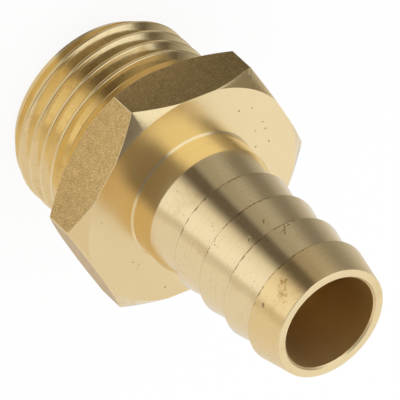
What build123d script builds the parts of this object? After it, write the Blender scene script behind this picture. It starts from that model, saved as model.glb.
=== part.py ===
from build123d import *
import math
import os

# Hose tail turned from brass hexagon bar: a male parallel pipe thread, a spanner
# hexagon and a barbed spigot on one axis, bored right through.
# Millimetres. The axis is Z. The thread's end face lies at Z = 0 and the barbs point up.

# Driving dimensions of the pipe thread (G 1/2: Whitworth form, parallel, right-handed)
THREAD_MAJOR_DIAMETER = 20.955
THREADS_PER_INCH = 14
THREAD_INCLUDED_ANGLE = 55.0
THREAD_ROOT_RADIUS = 0.249
THREAD_CREST_FLAT = 0.30
THREAD_LENGTH = 11.4          # end face to the hexagon's back face
THREAD_START_ANGLE = 116.0    # where the groove's centre crosses the end face
LEAD_DIAMETER = 18.6          # small end of the lead-in taper
LEAD_ANGLE = 32.0             # lead-in taper, from the axis
RELIEF_WIDTH = 1.6            # plain groove between the last thread and the hexagon
RELIEF_DIAMETER = 18.4
RELIEF_SLOPE = 30.0           # the groove's side towards the thread, from square

# Driving dimensions of the hexagon
HEX_ACROSS_FLATS = 24.0
HEX_THICKNESS = 5.5
HEX_CORNER_RADIUS = 0.25
HEX_FACE_DIAMETER = 24.3      # circle that the corner chamfers leave on each face
HEX_CHAMFER_ANGLE = 37.0      # corner chamfers, from the face

# Driving dimensions of the spigot
NECK_DIAMETER = 14.1
NECK_LENGTH = 3.0
NECK_FOOT = 0.2               # short 45 degree taper where the neck meets the hexagon
FIRST_CONE_LENGTH = 3.9       # from the neck to the first sharp edge
EDGE_COUNT = 4                # sharp edges, each with a cone behind it
EDGE_PITCH = 4.1
BARB_DIAMETER = 13.8
BARB_ROOT_DIAMETER = 12.1
TIP_DIAMETER = 12.3
TIP_CONE_LENGTH = 3.9
TIP_EDGE_BREAK = 0.12

# Driving dimensions of the bore
BORE_DIAMETER = 10.2
TIP_MOUTH_CHAMFER = 0.2       # chamfer inside the tip
END_MOUTH_CHAMFER = 0.5       # chamfer inside the thread's end face

# Worked out from the driving dimensions
THREAD_PITCH = 25.4 / THREADS_PER_INCH
HEX_BACK = THREAD_LENGTH
HEX_FRONT = HEX_BACK + HEX_THICKNESS
NECK_END = HEX_FRONT + NECK_LENGTH
FIRST_EDGE = NECK_END + FIRST_CONE_LENGTH
LAST_EDGE = FIRST_EDGE + (EDGE_COUNT - 1) * EDGE_PITCH
TIP = LAST_EDGE + TIP_CONE_LENGTH
OVERLAP = 1.0                 # how far fused pieces run into each other


def turned(points):
    """Solid of revolution about Z from (radius, height) corners."""
    outline = Polyline(*[(r, 0, z) for r, z in points], close=True)
    return revolve(make_face(outline), Axis.Z)


def thread_envelope():
    """Outer form of the threaded end: lead-in taper, plain cylinder, relief groove."""
    major_r = THREAD_MAJOR_DIAMETER / 2
    lead_r = LEAD_DIAMETER / 2
    relief_r = RELIEF_DIAMETER / 2
    lead_top = (major_r - lead_r) / math.tan(math.radians(LEAD_ANGLE))
    relief_start = HEX_BACK - RELIEF_WIDTH
    slope = (major_r - relief_r) * math.tan(math.radians(RELIEF_SLOPE))
    return turned([
        (0, 0),
        (lead_r, 0),
        (major_r, lead_top),
        (major_r, relief_start - slope),
        (relief_r, relief_start),
        (relief_r, HEX_BACK + OVERLAP),
        (0, HEX_BACK + OVERLAP),
    ])


def thread_groove():
    """Helical groove: straight flanks with a round root, open past the crests."""
    major_r = THREAD_MAJOR_DIAMETER / 2
    flank = math.radians(THREAD_INCLUDED_ANGLE / 2)
    mouth = (THREAD_PITCH - THREAD_CREST_FLAT) / 2
    apex_r = major_r - mouth / math.tan(flank)
    centre_r = apex_r + THREAD_ROOT_RADIUS / math.sin(flank)
    root_r = centre_r - THREAD_ROOT_RADIUS
    touch_r = centre_r - THREAD_ROOT_RADIUS * math.sin(flank)
    touch = THREAD_ROOT_RADIUS * math.cos(flank)
    outer_r = major_r + THREAD_CREST_FLAT / 3
    outer = (outer_r - apex_r) * math.tan(flank)
    start = -THREAD_PITCH
    run = HEX_BACK - RELIEF_WIDTH / 2 - start
    path = Pos(0, 0, start) * Helix(THREAD_PITCH, run, major_r)
    section = make_face([
        Line((outer_r, 0, start - outer), (touch_r, 0, start - touch)),
        ThreePointArc((touch_r, 0, start - touch), (root_r, 0, start), (touch_r, 0, start + touch)),
        Line((touch_r, 0, start + touch), (outer_r, 0, start + outer)),
        Line((outer_r, 0, start + outer), (outer_r, 0, start - outer)),
    ])
    groove = sweep(section, path=path, is_frenet=True)
    return Rot(0, 0, THREAD_START_ANGLE) * groove


def threaded_end():
    """Plain bar with the helical groove, turned down to the threaded end's outer form."""
    major_r = THREAD_MAJOR_DIAMETER / 2
    below = 2 * THREAD_PITCH
    bar = Pos(0, 0, -below) * Cylinder(
        major_r, HEX_BACK + OVERLAP + below, align=(Align.CENTER, Align.CENTER, Align.MIN)
    )
    return (bar - thread_groove()) & thread_envelope()


def hexagon():
    """Spanner hexagon with its corners turned off at both faces."""
    corner_r = HEX_ACROSS_FLATS / math.sqrt(3)
    face_r = HEX_FACE_DIAMETER / 2
    drop = (corner_r - face_r) * math.tan(math.radians(HEX_CHAMFER_ANGLE))
    section = RegularPolygon(HEX_ACROSS_FLATS / 2, 6, major_radius=False)
    section = fillet(section.vertices(), HEX_CORNER_RADIUS)
    bar = Pos(0, 0, HEX_BACK) * extrude(section, HEX_THICKNESS)
    envelope = turned([
        (0, HEX_BACK),
        (face_r, HEX_BACK),
        (corner_r, HEX_BACK + drop),
        (corner_r, HEX_FRONT - drop),
        (face_r, HEX_FRONT),
        (0, HEX_FRONT),
    ])
    return bar & envelope


def spigot():
    """Neck with its foot, then cones whose sharp edges face the hexagon, then the tip."""
    neck_r = NECK_DIAMETER / 2
    points = [
        (0, HEX_FRONT - OVERLAP),
        (neck_r + NECK_FOOT, HEX_FRONT - OVERLAP),
        (neck_r + NECK_FOOT, HEX_FRONT),
        (neck_r, HEX_FRONT + NECK_FOOT),
        (neck_r, NECK_END),
    ]
    for i in range(EDGE_COUNT):
        edge = FIRST_EDGE + i * EDGE_PITCH
        points.append((BARB_ROOT_DIAMETER / 2, edge))
        points.append((BARB_DIAMETER / 2, edge))
    points += [
        (TIP_DIAMETER / 2, TIP - TIP_EDGE_BREAK),
        (TIP_DIAMETER / 2 - TIP_EDGE_BREAK, TIP),
        (0, TIP),
    ]
    return turned(points)


def bore():
    """Straight through hole, chamfered at both mouths."""
    bore_r = BORE_DIAMETER / 2
    end_r = bore_r + END_MOUTH_CHAMFER
    tip_r = bore_r + TIP_MOUTH_CHAMFER
    return turned([
        (0, -OVERLAP),
        (end_r, -OVERLAP),
        (end_r, 0),
        (bore_r, END_MOUTH_CHAMFER),
        (bore_r, TIP - TIP_MOUTH_CHAMFER),
        (tip_r, TIP),
        (tip_r, TIP + OVERLAP),
        (0, TIP + OVERLAP),
    ])


hose_tail = threaded_end() + hexagon() + spigot() - bore()

os.makedirs("parts", exist_ok=True)
export_step(hose_tail, "parts/hose_tail.step")
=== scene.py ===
import math

import bpy
from mathutils import Matrix, Quaternion, Vector


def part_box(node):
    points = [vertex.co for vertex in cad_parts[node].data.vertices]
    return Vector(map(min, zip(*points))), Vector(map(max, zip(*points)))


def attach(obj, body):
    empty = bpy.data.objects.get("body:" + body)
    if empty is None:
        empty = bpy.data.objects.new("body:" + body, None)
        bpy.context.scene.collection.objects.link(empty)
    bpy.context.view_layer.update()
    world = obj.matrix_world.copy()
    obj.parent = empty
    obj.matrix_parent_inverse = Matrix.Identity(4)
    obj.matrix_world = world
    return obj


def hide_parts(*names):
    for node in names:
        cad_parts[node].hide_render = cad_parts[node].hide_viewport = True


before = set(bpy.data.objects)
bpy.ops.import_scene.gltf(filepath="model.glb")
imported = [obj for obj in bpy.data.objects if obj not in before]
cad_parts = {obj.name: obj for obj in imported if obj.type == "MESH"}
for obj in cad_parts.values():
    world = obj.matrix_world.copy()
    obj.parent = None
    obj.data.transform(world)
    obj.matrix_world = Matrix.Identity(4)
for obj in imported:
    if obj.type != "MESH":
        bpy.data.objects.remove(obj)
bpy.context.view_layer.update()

# Sizes of the fitting in millimetres. The axis is Z and the thread's end face is at Z = 0.
TOTAL = (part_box("hose_tail")[1][2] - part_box("hose_tail")[0][2]) * 1000
ACROSS_FLATS = (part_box("hose_tail")[1][1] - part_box("hose_tail")[0][1]) * 1000
THREAD_R = 10.4775
THREAD_PITCH = 25.4 / 14
THREAD_FLANK = math.radians(27.5)
THREAD_ROOT_ROUND = 0.249
THREAD_CREST_FLAT = 0.30
THREAD_CREST_ROUND = 0.15
THREAD_START = math.radians(116.0)
THREAD_TURNS = 9
HEX_BACK = 11.4
HEX_FRONT = HEX_BACK + 5.5
LEAD_R = 9.3
LEAD_SLOPE = math.radians(32.0)
RELIEF_R = 9.2
RELIEF_WIDTH = 1.6
RELIEF_SLOPE = math.radians(30.0)
HEX_FACE_R = 12.15
HEX_CORNER_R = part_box("hose_tail")[1][0] * 1000
HEX_INNER_R = 11.6            # ring of points just inside the flats
HEX_CHAMFER = math.radians(37.0)
FLAT_EDGE_BREAK = 0.03
NECK_R = 7.05
NECK_LENGTH = 3.0
NECK_FOOT = 0.2
FIRST_CONE = 3.9
EDGES = 4
EDGE_PITCH = 4.1
FIRST_EDGE = HEX_FRONT + NECK_LENGTH + FIRST_CONE
LAST_EDGE = FIRST_EDGE + (EDGES - 1) * EDGE_PITCH
BARB_R = 6.9
BARB_ROOT_R = 6.05
BARB_EDGE_ROUND = 0.07
TIP_R = 6.15
TIP_EDGE = 0.12
BORE_R = 5.1
TIP_CHAMFER = 0.2
END_CHAMFER = 0.5
ROUND_STEPS = 288
INTO = 0.5                    # how far solids that are joined run into each other
THREAD_RUN_IN = 2             # turns of the rod that start below the end face
THREAD_CUT = 0.9              # pitches below the end face where the rod is cut square
SMOOTH_ANGLE = math.radians(25)
MERGE = 1e-4                  # vertices nearer than this are one
SLIVER = 1e-5                 # edges shorter than this are dropped
ON_PLANE = 0.01               # how near a face's middle counts as at a height or a radius
ON_FLAT = 0.003               # how near it counts as on one of the six flats
LIP = 0.1                     # width of the band on a sharp edge that is painted dark as shade
MM = 0.001

# Camera, in metres and degrees: a long lens from above the barbed end, turned on its side.
CAMERA_AIM = (0.00097, 0.00001, 0.0188)
CAMERA_DISTANCE = 1.0574
CAMERA_AZIMUTH = 7.40
CAMERA_ELEVATION = 38.716
CAMERA_ROLL = -133.0
CAMERA_LENS = 986.9
SENSOR = 36.0

FLOOR_SIZE = 6                # metres
FLOOR_GLOW = 0.88             # share of the floor's white that its shadow doesn't dim
CARD_MIDDLE = 0.75            # share of the fitting's height that the cards hang about

# The fitting's finishes, in the order of its material slots.
SPIGOT, THREAD, FLAT, BORE, SHADED_BURR, FACE = range(6)


# ---------------------------------------------------------------- modelling by hand

def clear_selection():
    """Deselects everything, CAD nodes too, so that operators act on one piece."""
    bpy.ops.object.select_all(action="DESELECT")


def start_point(name):
    """A mesh of one vertex at the origin, open in edit mode."""
    clear_selection()
    bpy.ops.mesh.primitive_plane_add(size=1)
    obj = bpy.context.object
    obj.name = name
    bpy.ops.object.mode_set(mode="EDIT")
    bpy.ops.mesh.merge(type="CENTER")
    return obj


def draw_outline(name, points, closed=True):
    """Extrudes one vertex along (radius, height) corners in the XZ plane."""
    obj = start_point(name)
    r, z = points[0]
    bpy.ops.transform.translate(value=(r, 0, z))
    for (r0, z0), (r1, z1) in zip(points, points[1:]):
        move = {"value": (r1 - r0, 0, z1 - z0)}
        bpy.ops.mesh.extrude_vertices_move(TRANSFORM_OT_translate=move)
    if closed:
        bpy.ops.mesh.select_all(action="SELECT")
        bpy.ops.mesh.edge_face_add()
        bpy.ops.mesh.delete(type="ONLY_FACE")
    return obj


def lathe(name, points, steps=ROUND_STEPS):
    """Turns a closed outline about Z into a closed solid. Corners on the axis become poles."""
    obj = draw_outline(name, points)
    bpy.ops.mesh.select_all(action="SELECT")
    bpy.ops.mesh.spin(steps=steps, angle=2 * math.pi, center=(0, 0, 0), axis=(0, 0, 1))
    close_up()
    bpy.ops.object.mode_set(mode="OBJECT")
    return obj


def close_up():
    """Merges doubled vertices, drops what has no size or no face, and points faces outwards."""
    bpy.ops.mesh.select_all(action="SELECT")
    bpy.ops.mesh.remove_doubles(threshold=MERGE)
    bpy.ops.mesh.dissolve_degenerate(threshold=SLIVER)
    bpy.ops.mesh.select_all(action="SELECT")
    bpy.ops.mesh.delete_loose(use_faces=False)
    bpy.ops.mesh.select_all(action="SELECT")
    bpy.ops.mesh.normals_make_consistent(inside=False)


def join_by(obj, tool, operation):
    """Boolean of two closed solids, applied. The tool is used up."""
    clear_selection()
    obj.select_set(True)
    bpy.context.view_layer.objects.active = obj
    mod = obj.modifiers.new(operation.lower(), "BOOLEAN")
    mod.operation = operation
    mod.object = tool
    mod.solver = "EXACT"
    bpy.ops.object.modifier_apply(modifier=mod.name)
    bpy.data.objects.remove(tool, do_unlink=True)


def arc(centre, radius, start, end, steps):
    """Points of a round stretch, from one angle to another in degrees."""
    spots = []
    for i in range(steps + 1):
        a = math.radians(start + (end - start) * i / steps)
        spots.append((centre[0] + radius * math.cos(a), centre[1] + radius * math.sin(a)))
    return spots


# ---------------------------------------------------------------- shapes

def spigot_outline():
    """Neck with its foot, cones with slightly broken edges, and the tip."""
    neck_end = HEX_FRONT + NECK_LENGTH
    points = [(NECK_R + NECK_FOOT, HEX_FRONT), (NECK_R, HEX_FRONT + NECK_FOOT)]
    points.append((NECK_R, neck_end - BARB_EDGE_ROUND))
    slope = (NECK_R - BARB_ROOT_R) / FIRST_CONE
    points.append((NECK_R - BARB_EDGE_ROUND * slope / 2, neck_end + BARB_EDGE_ROUND))
    for i in range(EDGES):
        z = FIRST_EDGE + i * EDGE_PITCH
        points.append((BARB_ROOT_R, z))
        centre = (BARB_R - BARB_EDGE_ROUND, z + BARB_EDGE_ROUND)
        points += arc(centre, BARB_EDGE_ROUND, 270, 371, 5)
    points += arc((TIP_R - TIP_EDGE, TOTAL - TIP_EDGE), TIP_EDGE, 11, 90, 5)
    return points


def hexagon_outline():
    """From the relief groove out over the chamfered disc and back in to the neck's foot."""
    drop = (HEX_CORNER_R - HEX_FACE_R) * math.tan(HEX_CHAMFER)
    return [
        (HEX_INNER_R, HEX_BACK),
        (HEX_FACE_R, HEX_BACK),
        (HEX_CORNER_R, HEX_BACK + drop),
        (HEX_CORNER_R, HEX_FRONT - drop),
        (HEX_FACE_R, HEX_FRONT),
        (HEX_INNER_R, HEX_FRONT),
    ]


def make_blank():
    """Hexagon and spigot turned in one, then the flats milled off by six straight cuts."""
    points = [(0, HEX_BACK)] + hexagon_outline() + spigot_outline() + [(0, TOTAL)]
    blank = lathe("hose_tail_brass", points)
    bpy.context.view_layer.objects.active = blank
    bpy.ops.object.mode_set(mode="EDIT")
    for side in range(6):
        a = math.radians(30 + 60 * side)
        normal = (math.cos(a), math.sin(a), 0)
        spot = (normal[0] * ACROSS_FLATS / 2, normal[1] * ACROSS_FLATS / 2, HEX_BACK)
        bpy.ops.mesh.select_all(action="SELECT")
        bpy.ops.mesh.bisect(
            plane_co=spot, plane_no=normal, use_fill=True, clear_outer=True, threshold=SLIVER
        )
    bpy.ops.mesh.select_all(action="SELECT")
    bpy.ops.mesh.remove_doubles(threshold=FLAT_EDGE_BREAK / 2)
    bpy.ops.object.mode_set(mode="OBJECT")
    break_flat_edges(blank)
    return blank


def break_flat_edges(blank):
    """Bevels the outlines of the six flats by a hair."""
    mesh = blank.data
    flat_edges = {}
    for face in mesh.polygons:
        if abs(face.normal.z) < 0.01 and face.area > 1 and HEX_BACK < face.center.z < HEX_FRONT:
            for key in face.edge_keys:
                flat_edges[key] = True
    for part in (mesh.vertices, mesh.edges, mesh.polygons):
        for item in part:
            item.select = False
    for edge in mesh.edges:
        edge.select = edge.key in flat_edges
    bpy.ops.object.mode_set(mode="EDIT")
    bpy.ops.mesh.select_mode(type="EDGE")
    bpy.ops.mesh.bevel(offset=FLAT_EDGE_BREAK, segments=2, profile=0.5)
    bpy.ops.mesh.select_mode(type="VERT")
    bpy.ops.object.mode_set(mode="OBJECT")


def thread_section():
    """One pitch of the thread's outline: half a softened crest, flank, round root and back out."""
    mouth = (THREAD_PITCH - THREAD_CREST_FLAT) / 2
    apex_r = THREAD_R - mouth / math.tan(THREAD_FLANK)
    root_centre = (apex_r + THREAD_ROOT_ROUND / math.sin(THREAD_FLANK), 0)
    lean = math.degrees(THREAD_FLANK)
    root = arc(root_centre, THREAD_ROOT_ROUND, 270 - lean, 90 + lean, 8)
    inset = THREAD_CREST_ROUND * math.tan(math.radians(90 - lean) / 2)
    crest_x = THREAD_R - THREAD_CREST_ROUND
    low = arc((crest_x, -mouth - inset), THREAD_CREST_ROUND, 0, 90 - lean, 6)
    high = arc((crest_x, mouth + inset), THREAD_CREST_ROUND, lean - 90, 0, 6)
    half = THREAD_PITCH / 2
    return [(THREAD_R, -half)] + low + root + high + [(THREAD_R, half)]


def make_thread():
    """A threaded rod: the section screwed up the axis, cut square at both ends and filled."""
    rod = draw_outline("thread_rod", thread_section(), closed=False)
    bpy.ops.mesh.select_all(action="SELECT")
    bpy.ops.transform.translate(value=(0, 0, -THREAD_RUN_IN * THREAD_PITCH))
    bpy.ops.object.mode_set(mode="OBJECT")
    screw = rod.modifiers.new("screw", "SCREW")
    screw.axis = "Z"
    screw.angle = 2 * math.pi
    screw.screw_offset = THREAD_PITCH
    screw.iterations = THREAD_TURNS
    screw.steps = ROUND_STEPS
    screw.render_steps = ROUND_STEPS
    screw.use_smooth_shade = True
    screw.use_normal_calculate = True
    bpy.ops.object.modifier_apply(modifier=screw.name)
    bpy.ops.object.mode_set(mode="EDIT")
    bpy.ops.mesh.select_all(action="SELECT")
    bpy.ops.mesh.remove_doubles(threshold=MERGE)
    bpy.ops.transform.rotate(value=-THREAD_START, orient_axis="Z", center_override=(0, 0, 0))
    for z, up in ((-THREAD_PITCH * THREAD_CUT, -1), (HEX_BACK + INTO, 1)):
        bpy.ops.mesh.select_all(action="SELECT")
        bpy.ops.mesh.bisect(
            plane_co=(0, 0, z), plane_no=(0, 0, up), use_fill=True, clear_outer=True,
            threshold=SLIVER / 10,
        )
    close_up()
    bpy.ops.object.mode_set(mode="OBJECT")
    return rod


def make_envelope():
    """Outer form of the threaded end: lead-in taper, plain cylinder, relief groove."""
    outside = THREAD_R + INTO
    lead_top = (outside - LEAD_R) / math.tan(LEAD_SLOPE)
    relief_start = HEX_BACK - RELIEF_WIDTH
    slope = (outside - RELIEF_R) * math.tan(RELIEF_SLOPE)
    return lathe("envelope", [
        (0, 0),
        (LEAD_R, 0),
        (outside, lead_top),
        (outside, relief_start - slope),
        (RELIEF_R, relief_start),
        (RELIEF_R, HEX_BACK + INTO / 2),
        (0, HEX_BACK + INTO / 2),
    ])


def make_bore():
    """The through hole as a solid tool."""
    return lathe("bore_tool", [
        (0, -INTO),
        (BORE_R + END_CHAMFER, -INTO),
        (BORE_R + END_CHAMFER, 0),
        (BORE_R, END_CHAMFER),
        (BORE_R, TOTAL - TIP_CHAMFER),
        (BORE_R + TIP_CHAMFER, TOTAL),
        (BORE_R + TIP_CHAMFER, TOTAL + INTO),
        (0, TOTAL + INTO),
    ])


def make_fitting():
    """The whole fitting as one closed mesh, in metres, at its place."""
    thread = make_thread()
    join_by(thread, make_envelope(), "INTERSECT")
    body = make_blank()
    join_by(body, thread, "UNION")
    join_by(body, make_bore(), "DIFFERENCE")
    clear_selection()
    body.select_set(True)
    bpy.context.view_layer.objects.active = body
    bpy.ops.object.mode_set(mode="EDIT")
    close_up()
    bpy.ops.object.mode_set(mode="OBJECT")
    body.scale = (MM, MM, MM)
    bpy.ops.object.transform_apply(location=True, rotation=True, scale=True)
    bpy.ops.object.shade_smooth_by_angle(angle=SMOOTH_ANGLE)
    for face in body.data.polygons:
        if is_flat(face):
            face.use_smooth = False
    return body


def on_flat(face):
    """Whether a face of the finished mesh lies on one of the hexagon's six flats."""
    x, y, z = face.center / MM
    turn = math.radians(60 * round((math.degrees(math.atan2(y, x)) - 30) / 60) + 30)
    off = x * math.cos(turn) + y * math.sin(turn)
    return HEX_BACK < z < HEX_FRONT and abs(off - ACROSS_FLATS / 2) < ON_FLAT


def is_flat(face):
    """Whether a face is shaded flat: the square faces and the six flats."""
    return abs(face.normal.z) > 0.9999 or on_flat(face)


# ---------------------------------------------------------------- materials

def build(nodes, links, kind, settings, **inputs):
    """Adds a node, sets its properties, then its sockets to numbers or links.

    A socket is named by its label, with _ for each space, or by _ and its number.
    """
    node = nodes.new(kind)
    for name, value in settings.items():
        setattr(node, name, value)
    for name, value in inputs.items():
        label = int(name[1:]) if name[1:].isdigit() else name.replace("_", " ")
        socket = node.inputs[label]
        if isinstance(value, bpy.types.NodeSocket):
            links.new(value, socket)
        else:
            socket.default_value = value
    return node


class Finish:
    """One metal finish: its shader, and the short steps that its patterns are built from."""

    def __init__(self, name, roughness, anisotropic=0.0):
        self.mat = bpy.data.materials.new(name)
        self.mat.use_nodes = True
        self.nodes = self.mat.node_tree.nodes
        self.links = self.mat.node_tree.links
        self.shader = self.nodes["Principled BSDF"]
        self.shader.inputs["Metallic"].default_value = 1.0
        self.shader.inputs["Roughness"].default_value = roughness
        self.shader.inputs["Anisotropic"].default_value = anisotropic
        self.place = self.add("ShaderNodeTexCoord", {}).outputs["Object"]
        self.spot = self.add("ShaderNodeSeparateXYZ", {}, _0=self.place).outputs

    def add(self, kind, settings, **inputs):
        return build(self.nodes, self.links, kind, settings, **inputs)

    def calc(self, operation, *values, clamp=False):
        inputs = {f"_{i}": value for i, value in enumerate(values)}
        return self.add("ShaderNodeMath", {"operation": operation, "use_clamp": clamp}, **inputs).outputs[0]

    def ramp(self, value, low, high, out_low=0.0, out_high=1.0):
        return self.add(
            "ShaderNodeMapRange", {"interpolation_type": "SMOOTHSTEP"},
            Value=value, From_Min=low, From_Max=high, To_Min=out_low, To_Max=out_high,
        ).outputs[0]

    def noise(self, size_mm, detail=2.0, roughness=0.5, place=None):
        """Noise of about -0.5 to 0.5 whose lumps are size_mm across."""
        tex = self.add(
            "ShaderNodeTexNoise", {}, Vector=place or self.place,
            Scale=1 / (size_mm * MM), Detail=detail, Roughness=roughness,
        )
        return self.calc("SUBTRACT", tex.outputs[0], 0.5)

    def rings(self, width_mm, detail=3.0):
        """Turning marks: noise that changes only across the lathe's tool path."""
        flat = self.add("ShaderNodeCombineXYZ", {}, _0=self.spot[0], _1=self.spot[1]).outputs[0]
        radius = self.add("ShaderNodeVectorMath", {"operation": "LENGTH"}, _0=flat).outputs["Value"]
        along = self.calc("ADD", radius, self.spot[2])
        tex = self.add(
            "ShaderNodeTexNoise", {"noise_dimensions": "1D"},
            W=along, Scale=1 / (width_mm * MM), Detail=detail, Roughness=0.6,
        )
        return self.calc("SUBTRACT", tex.outputs[0], 0.5)

    def spots(self, marks, ragged=0.5):
        """1 inside small marks and 0 outside. A mark is where it starts, where it ends and its width in mm.

        Places are degrees round the axis, mm up and mm out from it.
        """
        torn_and_edge_shade = self.noise(0.25, 2.0)
        total = 0.0
        for start, end, width in marks:
            first, last = on_turn(*start), on_turn(*end)
            from_first = self.add("ShaderNodeVectorMath", {"operation": "SUBTRACT"}, _0=self.place, _1=first)
            offset = from_first.outputs[0]
            run = last - first
            if run.length > 0:
                part = {"_0": offset, "_1": run / run.length_squared}
                share = self.add("ShaderNodeVectorMath", {"operation": "DOT_PRODUCT"}, **part)
                share = self.calc("ADD", share.outputs["Value"], 0.0, clamp=True)
                near = self.add("ShaderNodeVectorMath", {"operation": "SCALE"}, _0=run, Scale=share)
                offset = self.add(
                    "ShaderNodeVectorMath", {"operation": "SUBTRACT"}, _0=offset, _1=near.outputs[0]
                ).outputs[0]
            far = self.add("ShaderNodeVectorMath", {"operation": "LENGTH"}, _0=offset).outputs["Value"]
            size = width * MM / 2
            far = self.calc("ADD", far, self.calc("MULTIPLY", torn_and_edge_shade, size * ragged * 2))
            inside = self.calc("SUBTRACT", 1.0, self.ramp(far, size * 0.6, size * 1.3))
            total = self.calc("MAXIMUM", total, inside)
        return total

    def tint(self, colour, other, amount):
        return self.add("ShaderNodeMix", {"data_type": "RGBA"}, _0=amount, _6=colour, _7=other).outputs[2]

    def colour(self, value):
        self.links.new(value, self.shader.inputs["Base Color"])

    def rough(self, value):
        self.links.new(value, self.shader.inputs["Roughness"])

    def bump(self, height, depth_mm):
        """Surface relief: a height of 1 stands depth_mm proud."""
        node = self.add("ShaderNodeBump", {}, Height=height, Distance=depth_mm * MM, Strength=1.0)
        self.links.new(node.outputs[0], self.shader.inputs["Normal"])

    def behind_edge(self, width_mm, height):
        """1 on a thin ragged strip at each sharp edge of the spigot, where a dark line of shade is painted,
        0 from about width_mm in front of it.
        """
        ahead = self.calc("SUBTRACT", height, FIRST_EDGE * MM)
        ahead = self.calc("FRACT", self.calc("DIVIDE", ahead, EDGE_PITCH * MM))
        ahead = self.calc("MULTIPLY", ahead, EDGE_PITCH)
        ahead = self.calc("ADD", ahead, self.calc("MULTIPLY", self.noise(0.35, 2.0, 0.6), width_mm * 2))
        strip = self.calc("SUBTRACT", 1.0, self.ramp(ahead, width_mm * 0.4, width_mm))
        return self.calc("MULTIPLY", strip, self.ramp(height, (FIRST_EDGE - LIP) * MM, FIRST_EDGE * MM))

    def turned(self):
        """Points the stretched gloss of a turned surface across the tool path."""
        tangent = self.add("ShaderNodeTangent", {"direction_type": "RADIAL", "axis": "Z"})
        self.links.new(tangent.outputs[0], self.shader.inputs["Tangent"])
        self.shader.inputs["Anisotropic Rotation"].default_value = 0.25


def on_turn(angle, height, radius):
    """A place in metres from degrees round the axis, mm up and mm out."""
    a = math.radians(angle)
    return Vector((radius * math.cos(a), radius * math.sin(a), height)) * MM


BRASS = (0.91, 0.75, 0.44, 1)
TARNISH_AND_SHADE = (0.62, 0.43, 0.17, 1)
GOLDEN = (0.88, 0.61, 0.23, 1)
DIRT_AND_SHADE = (0.20, 0.13, 0.06, 1)
BROWN_STAIN = (0.46, 0.25, 0.06, 1)
FACED = (0.94, 0.78, 0.46, 1)
SKIN_DARK = (0.44, 0.30, 0.12, 1)
SKIN_LIGHT = (0.78, 0.55, 0.24, 1)
GLINT = (0.94, 0.78, 0.50, 1)
BORE_LIT = (0.88, 0.70, 0.38, 1)
BORE_SHADED = (0.74, 0.52, 0.20, 1)
BURR_BRIGHT = (0.70, 0.54, 0.28, 1)
SHEEN_SIDE = (0.94, 0.34)      # X and Y of the side where the last cone has its painted golden sheen


def dot(angle, height, radius, width):
    """A mark that starts and ends at one place."""
    return ((angle, height, radius), (angle, height, radius), width)


# Handling marks: degrees round, mm up and mm out where each starts and ends, then its width in mm.
CONE_DENTS = (
    ((1, 30.6, 6.36), (3, 30.8, 6.32), 0.20),
    ((-31, 32.3, 6.84), (-20, 32.7, 6.76), 0.13),
    ((-27, 32.1, 6.88), (-22, 33.1, 6.68), 0.12),
    ((-19, 30.0, 6.47), (-17, 30.3, 6.42), 0.14),
)
CONE_STAINS = (
    ((10, 37.6, 6.62), (19, 38.6, 6.42), 0.9),
)
CONE_SPECKS = (
    ((34, 37.1, 6.71), (36, 37.2, 6.70), 0.26),
    dot(26, 34.5, 6.38, 0.16),
    dot(25, 28.3, 6.82, 0.14),
)
FACE_SPECKS = (
    dot(-61, HEX_FRONT, 9.63, 0.22),
    dot(-69, HEX_FRONT, 10.31, 0.16),
    dot(-84, HEX_FRONT, 9.78, 0.17),
    dot(-90, HEX_FRONT, 9.58, 0.20),
    dot(-101, HEX_FRONT, 9.32, 0.20),
    dot(-85, HEX_FRONT, 8.67, 0.15),
    dot(-98, HEX_FRONT, 7.85, 0.17),
    dot(55, HEX_FRONT, 10.73, 0.14),
    dot(100, HEX_FRONT, 8.71, 0.13),
    dot(106, HEX_FRONT, 8.55, 0.13),
    dot(107, HEX_FRONT, 8.94, 0.12),
    dot(136, HEX_FRONT, 10.71, 0.18),
)
CHAMFER_DENTS = (((-59.6, 15.8, 13.58), (-59.5, 16.05, 13.3), 0.22),)
THREAD_DENTS = (dot(-5, 1.3, 10.15, 0.45), dot(13.5, 1.3, 10.15, 0.5))


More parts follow.
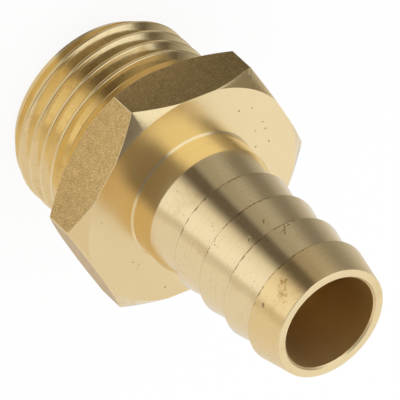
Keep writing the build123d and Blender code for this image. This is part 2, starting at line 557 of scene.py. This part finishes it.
def turned_brass():
    """The spigot: fine-turned, with faint rings, dents, ragged painted shade along the barb edges, and a
    golden tint with a painted sheen on the last cone.
    """
    f = Finish("turned brass", 0.18, 0.5)
    f.turned()
    rings = f.rings(0.2)
    cloud = f.noise(2.6, 3.0)
    mottle = f.noise(0.45, 3.0, 0.6)
    height = f.spot[2]
    on_last_cone = f.ramp(height, (LAST_EDGE - LIP) * MM, (LAST_EDGE + LIP) * MM)
    along_x = f.calc("MULTIPLY", f.spot[0], SHEEN_SIDE[0])
    front = f.calc("ADD", along_x, f.calc("MULTIPLY", f.spot[1], SHEEN_SIDE[1]))
    # Painted golden sheen: the last cone gets a faint golden tint all round, and a stronger one on the side
    # towards +X and a little +Y that stands in for a highlight.
    golden_tint_and_sheen = f.calc("MULTIPLY", on_last_cone, f.ramp(front, 2.0 * MM, 6.0 * MM, 0.12, 0.50))
    golden_tint_and_sheen = f.calc("MULTIPLY", golden_tint_and_sheen, f.ramp(height, (TOTAL - 0.15) * MM, (TOTAL - 0.05) * MM, 1.0, 0.0))
    stain_and_shade = f.ramp(f.calc("ADD", cloud, f.calc("MULTIPLY", mottle, 0.5)), 0.04, 0.32)
    scored = f.calc("MULTIPLY", on_last_cone, f.ramp(front, 3.5 * MM, 5.5 * MM, 1.0, 0.15))
    marks = f.calc("MULTIPLY", rings, f.calc("ADD", 1.0, f.calc("MULTIPLY", scored, 5.5)))
    soiled_and_shaded = f.calc("ADD", f.calc("MULTIPLY", stain_and_shade, 0.22), f.calc("MULTIPLY", rings, 0.35), clamp=True)
    colour = f.tint(f.tint(BRASS, GOLDEN, golden_tint_and_sheen), TARNISH_AND_SHADE, soiled_and_shaded)
    patch = f.calc("MULTIPLY", f.spots(CONE_STAINS, 1.5), f.ramp(mottle, -0.15, 0.2))
    colour = f.tint(colour, BROWN_STAIN, f.calc("MULTIPLY", patch, 0.8))
    dents = f.spots(CONE_DENTS)
    speck = f.ramp(f.noise(0.16, 0.0), 0.29, 0.34)
    dark = f.calc("MAXIMUM", f.calc("MULTIPLY", speck, 0.45), f.calc("MULTIPLY", dents, 0.6))
    dark = f.calc("MAXIMUM", dark, f.calc("MULTIPLY", f.spots(CONE_SPECKS, 1.2), 0.7))
    # Painted shade: a ragged dark line at each barb edge, on the +X side only.
    torn_and_edge_shade = f.calc("MULTIPLY", f.behind_edge(0.22, height), f.ramp(f.noise(0.9, 2.0, 0.6), -0.12, 0.04))
    torn_and_edge_shade = f.calc("MULTIPLY", torn_and_edge_shade, f.ramp(f.spot[0], 4.9 * MM, 6.0 * MM, 0.05, 1.0))
    f.colour(f.tint(colour, DIRT_AND_SHADE, f.calc("MAXIMUM", dark, f.calc("MULTIPLY", torn_and_edge_shade, 0.75))))
    rough = f.calc("ADD", 0.18, f.calc("MULTIPLY", mottle, 0.10))
    f.rough(f.calc("ADD", rough, f.calc("MULTIPLY", scored, 0.12)))
    relief = f.calc("ADD", marks, f.calc("MULTIPLY", mottle, 0.25))
    relief = f.calc("SUBTRACT", relief, f.calc("MULTIPLY", dents, 6.0))
    f.bump(f.calc("SUBTRACT", relief, speck), 0.006)
    return f.mat


def faced_brass():
    """The hexagon's faces: a duller gloss than the spigot, with painted shade that darkens them towards +Y
    and a faint tarnish mottle.
    """
    f = Finish("faced brass", 0.27)
    rings = f.rings(0.3)
    mottle = f.noise(0.5, 3.0, 0.6)
    # Painted shade: the face darkens towards +Y. The noise on top is tarnish.
    stain_and_shade = f.calc("ADD", f.ramp(f.spot[1], 0.0, 9.0 * MM, 0.03, 0.34), f.calc("MULTIPLY", mottle, 0.05))
    soiled_and_shaded = f.calc("ADD", stain_and_shade, f.calc("MULTIPLY", f.noise(3.0, 2.0), 0.12), clamp=True)
    colour = f.tint(FACED, TARNISH_AND_SHADE, soiled_and_shaded)
    f.colour(f.tint(colour, DIRT_AND_SHADE, f.calc("MULTIPLY", f.spots(FACE_SPECKS), 0.9)))
    f.bump(f.calc("ADD", rings, f.calc("MULTIPLY", mottle, 0.2)), 0.001)
    return f.mat


def cut_thread():
    """Thread and chamfers as the tool left them: bright, with a few dents."""
    f = Finish("cut thread", 0.16)
    mottle = f.noise(0.5, 3.0, 0.6)
    stain_and_shade = f.ramp(f.calc("ADD", f.noise(2.2), f.calc("MULTIPLY", mottle, 0.6)), 0.02, 0.3)
    f.colour(f.tint(BRASS, TARNISH_AND_SHADE, f.calc("MULTIPLY", stain_and_shade, 0.3)))
    f.rough(f.calc("ADD", 0.17, f.calc("MULTIPLY", mottle, 0.12)))
    dents = f.spots(CHAMFER_DENTS + THREAD_DENTS)
    f.bump(f.calc("SUBTRACT", f.calc("MULTIPLY", mottle, 0.1), dents), 0.045)
    return f.mat


def bar_stock():
    """The bar's own drawn skin on the six flats: dull and finely granular."""
    f = Finish("drawn bar stock", 0.38)
    grain = f.noise(0.11, 1.0, 0.6)
    patches = f.noise(0.9, 2.0)
    light = f.ramp(f.calc("ADD", grain, f.calc("MULTIPLY", patches, 0.25)), -0.20, 0.24)
    glint = f.ramp(f.noise(0.14, 0.0), 0.20, 0.30)
    colour = f.tint(SKIN_DARK, SKIN_LIGHT, light)
    f.colour(f.tint(colour, GLINT, f.calc("MULTIPLY", glint, 0.6)))
    f.bump(f.calc("ADD", grain, f.calc("MULTIPLY", glint, 0.8)), 0.011)
    return f.mat


def bored_brass():
    """Drilled wall, with painted shade that darkens it towards -Y."""
    f = Finish("bored brass", 0.5)
    # Painted shade: darker and browner towards -Y, with a noisy edge.
    shade_edge_noise = f.calc("MULTIPLY", f.noise(3.0, 2.0), 4 * MM)
    bore_shade = f.ramp(f.calc("ADD", f.spot[1], shade_edge_noise), -5 * MM, 5 * MM, 1.0, 0.0)
    f.colour(f.tint(BORE_LIT, BORE_SHADED, bore_shade))
    f.bump(f.rings(0.5), 0.002)
    return f.mat


def shaded_burr_edge():
    """The corner of each barb: a burr's ragged mottle, painted mostly dark as shade."""
    f = Finish("shaded burr edge", 0.3)
    nibble = f.noise(0.3, 3.0, 0.7)
    dull = f.ramp(nibble, -0.15, 0.2)
    # Painted shade: the edge is mostly the dark colour, broken by lighter burr flecks.
    f.colour(f.tint(DIRT_AND_SHADE, BURR_BRIGHT, dull))
    f.bump(nibble, 0.03)
    return f.mat


def finish_at(face):
    """The finish that a face takes from where it lies."""
    x, y, z = face.center / MM
    r = math.hypot(x, y)
    if r < BORE_R + ON_PLANE:
        return BORE
    if z < HEX_BACK - ON_PLANE:
        return THREAD
    if on_flat(face):
        return FLAT
    if z < HEX_FRONT - ON_PLANE:
        return THREAD
    if z < HEX_FRONT + ON_PLANE:
        return FACE
    past_edge = z > FIRST_EDGE - ON_PLANE and (z - FIRST_EDGE) % EDGE_PITCH < BARB_EDGE_ROUND
    return SHADED_BURR if past_edge and r > BARB_R - LIP else SPIGOT


def dress(body):
    """Gives each face its finish. The materials are in the order of their slots."""
    for mat in (
        turned_brass(), cut_thread(), bar_stock(), bored_brass(), shaded_burr_edge(), faced_brass()
    ):
        body.data.materials.append(mat)
    for face in body.data.polygons:
        face.material_index = finish_at(face)


# ---------------------------------------------------------------- set

# Heights in degrees that several cards share: from straight below to just over the middle, or
# to the fitting's foot.
WALL = (-99, -98, 2, 22)
FOOT = (-99, -98, -55, -51)

# Cards hung in the white tent, seen only as reflections. Each hangs in front of those before it.
# Degrees from the middle of the fitting, sideways and up: where the card begins, where it is
# solid, where it thins again and where it ends. Then its colour.
CARDS = (
    ("pale card", (-20, 14, 50, 75), WALL, (0.95, 0.95, 0.98)),
    ("back card", (-178, -150, -118, -105), (-99, -98, 10, 30), (0.86, 0.84, 0.82)),
    ("side black card", (-160, -84, -76, -30), WALL, (0.22, 0.20, 0.18)),
    ("near grey card", (-92, -34, -27, -19), WALL, (0.355, 0.325, 0.29)),
    ("far pale card", (44, 62, 152, 188), WALL, (0.79, 0.76, 0.75)),
    ("stand", (49, 57, 60, 72), WALL, (0.66, 0.62, 0.58)),
    ("slot fringe", (-28, -16, 0, 34), WALL, (0.74, 0.71, 0.66)),
    ("lens slot", (-30, -21, -9, 12), WALL, (0.11, 0.09, 0.075)),
    ("dark card under the flat", (-95, -80, -32, -16), (-53, -50, -40, -30), (0.08, 0.08, 0.07)),
    ("near foot grey card", (-85, -72, -8, 2), FOOT, (0.55, 0.49, 0.42)),
    ("near foot dark card", (-34, -18, -5, 2), FOOT, (0.27, 0.23, 0.17)),
    ("near foot warm card", (-1, 7, 70, 84), (-99, -98, -53, -47), (0.72, 0.64, 0.48)),
    ("back card overhead", (150, 178, 200, 226), (5, 25, 50, 80), (0.88, 0.87, 0.88)),
    ("side card overhead", (-150, -117, -96, -76), (5, 20, 40, 46), (0.24, 0.21, 0.17)),
    ("thread card overhead", (-127, -121, -111, -109), (32, 38, 52, 54), (0.08, 0.06, 0.04)),
    ("grey card overhead", (50, 90, 150, 190), (5, 25, 55, 80), (0.76, 0.69, 0.61)),
    ("brown card overhead", (-3, 8, 60, 80), (5, 20, 57, 63), (0.56, 0.46, 0.38)),
    ("black card overhead", (-26, -6, 58, 84), (18, 28, 70, 78), (0.19, 0.17, 0.165)),
)


def card_group():
    """Group that gives the light seen in a direction: white, with the cards painted over it."""
    group = bpy.data.node_groups.new("light tent cards", "ShaderNodeTree")
    group.interface.new_socket("Direction", in_out="INPUT", socket_type="NodeSocketVector")
    group.interface.new_socket("Light", in_out="OUTPUT", socket_type="NodeSocketColor")
    nodes, links = group.nodes, group.links

    def calc(operation, *values):
        inputs = {f"_{i}": value for i, value in enumerate(values)}
        return build(nodes, links, "ShaderNodeMath", {"operation": operation}, **inputs).outputs[0]

    def ramp(value, none, full):
        """0 at none, 1 at full, smooth between."""
        low, high, out = (none, full, (0, 1)) if none < full else (full, none, (1, 0))
        return build(
            nodes, links, "ShaderNodeMapRange", {"interpolation_type": "SMOOTHSTEP"},
            Value=value, From_Min=low, From_Max=high, To_Min=out[0], To_Max=out[1],
        ).outputs[0]

    entry = nodes.new("NodeGroupInput").outputs[0]
    straight = build(nodes, links, "ShaderNodeVectorMath", {"operation": "NORMALIZE"}, _0=entry)
    parts = build(nodes, links, "ShaderNodeSeparateXYZ", {}, _0=straight.outputs[0]).outputs
    around = calc("DEGREES", calc("ARCTAN2", parts[1], parts[0]))
    height = calc("DEGREES", calc("ARCSINE", parts[2]))
    light = build(nodes, links, "ShaderNodeRGB", {}).outputs[0]
    light.default_value = (1, 1, 1, 1)
    for name, side, up, colour in CARDS:
        middle = (side[0] + side[3]) / 2
        turned = calc("WRAP", calc("SUBTRACT", around, middle), 180, -180)
        edges = [edge - middle for edge in side]
        across = calc("MULTIPLY", ramp(turned, edges[0], edges[1]), ramp(turned, edges[3], edges[2]))
        upright = calc("MULTIPLY", ramp(height, up[0], up[1]), ramp(height, up[3], up[2]))
        light = build(
            nodes, links, "ShaderNodeMix", {"data_type": "RGBA", "label": name},
            _0=calc("MULTIPLY", across, upright), _6=light, _7=(*colour, 1),
        ).outputs[2]
    links.new(light, nodes.new("NodeGroupOutput").inputs[0])
    return group


def tent_colour(nodes, links, group, direction):
    """White to the camera and to soft light, and the cards in reflections."""
    cards = build(nodes, links, "ShaderNodeGroup", {"node_tree": group}, _0=direction)
    path = nodes.new("ShaderNodeLightPath")
    mix = build(
        nodes, links, "ShaderNodeMix", {"data_type": "RGBA"},
        _0=path.outputs["Is Glossy Ray"], _6=(1, 1, 1, 1), _7=cards.outputs[0],
    )
    return mix.outputs[2]


def make_floor(group):
    """White floor that keeps a pale shadow. Reflections see the cards on it."""
    clear_selection()
    bpy.ops.mesh.primitive_plane_add(size=FLOOR_SIZE, location=(0, 0, 0))
    floor = bpy.context.object
    floor.name = "floor"
    mat = bpy.data.materials.new("white floor")
    mat.use_nodes = True
    nodes, links = mat.node_tree.nodes, mat.node_tree.links
    shader = nodes["Principled BSDF"]
    spot = nodes.new("ShaderNodeTexCoord").outputs["Object"]
    middle = (0, 0, TOTAL * CARD_MIDDLE * MM)
    away = build(nodes, links, "ShaderNodeVectorMath", {"operation": "SUBTRACT"}, _0=spot, _1=middle)
    colour = tent_colour(nodes, links, group, away.outputs[0])
    links.new(colour, shader.inputs["Base Color"])
    shader.inputs["Roughness"].default_value = 1.0
    shader.inputs["Specular IOR Level"].default_value = 0.0
    glow = build(nodes, links, "ShaderNodeEmission", {}, Color=colour, Strength=1.0)
    mix = build(
        nodes, links, "ShaderNodeMixShader", {},
        _0=FLOOR_GLOW, _1=shader.outputs[0], _2=glow.outputs[0],
    )
    links.new(mix.outputs[0], nodes["Material Output"].inputs["Surface"])
    floor.data.materials.append(mat)


def make_world(group):
    """The tent: even white light all round, with the cards in reflections."""
    world = bpy.data.worlds.new("light tent")
    bpy.context.scene.world = world
    world.use_nodes = True
    nodes, links = world.node_tree.nodes, world.node_tree.links
    back = nodes["Background"]
    direction = nodes.new("ShaderNodeTexCoord").outputs["Generated"]
    links.new(tent_colour(nodes, links, group, direction), back.inputs["Color"])
    back.inputs["Strength"].default_value = 1.0


def make_camera():
    """Long lens, turned about its own line of sight."""
    az = math.radians(CAMERA_AZIMUTH)
    el = math.radians(CAMERA_ELEVATION)
    away = Vector((math.cos(el) * math.cos(az), math.cos(el) * math.sin(az), math.sin(el)))
    turn = (-away).to_track_quat("-Z", "Y") @ Quaternion((0, 0, 1), -math.radians(CAMERA_ROLL))
    data = bpy.data.cameras.new("camera")
    data.lens = CAMERA_LENS
    data.sensor_width = SENSOR
    data.clip_start = 0.01
    camera = bpy.data.objects.new("camera", data)
    place = Matrix.Translation(Vector(CAMERA_AIM) + away * CAMERA_DISTANCE)
    camera.matrix_world = place @ turn.to_matrix().to_4x4()
    bpy.context.collection.objects.link(camera)
    bpy.context.scene.camera = camera


fitting = make_fitting()
dress(fitting)
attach(fitting, "root")
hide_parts("hose_tail")

tent = card_group()
make_floor(tent)
make_world(tent)
make_camera()
bpy.context.scene.view_settings.view_transform = "Standard"
